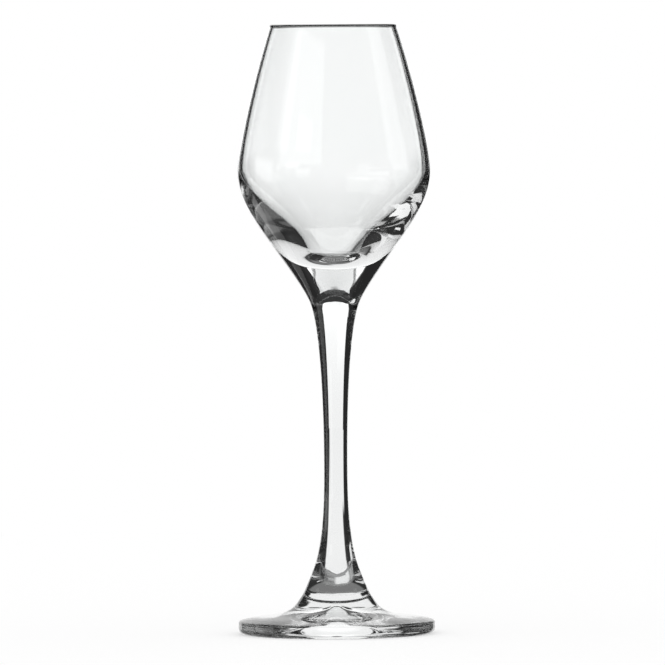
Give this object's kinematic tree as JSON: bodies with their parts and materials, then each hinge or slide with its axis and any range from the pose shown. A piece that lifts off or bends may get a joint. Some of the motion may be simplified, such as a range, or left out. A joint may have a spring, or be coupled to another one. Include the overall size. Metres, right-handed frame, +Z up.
{
  "type": "cordial glass",
  "caption": "Small stemmed glass for cordials: a thin tapered blown bowl with a solid cone of glass below it, a slim waisted stem and a thick round foot.",
  "frame": {"origin": "centre of the resting plane under the foot", "axes": "+Z up along the axis of the stem, from the foot to the rim; the glass is round, so X and Y are free"},
  "size_m": [0.05, 0.05, 0.155],
  "materials": {
    "clear_glass": "clear fire-polished soda-lime or crystal glass, near colourless"
  },
  "bodies": {
    "root": {"bowl": "clear_glass", "stem": "clear_glass", "foot": "clear_glass"}
  },
  "joints": []
}
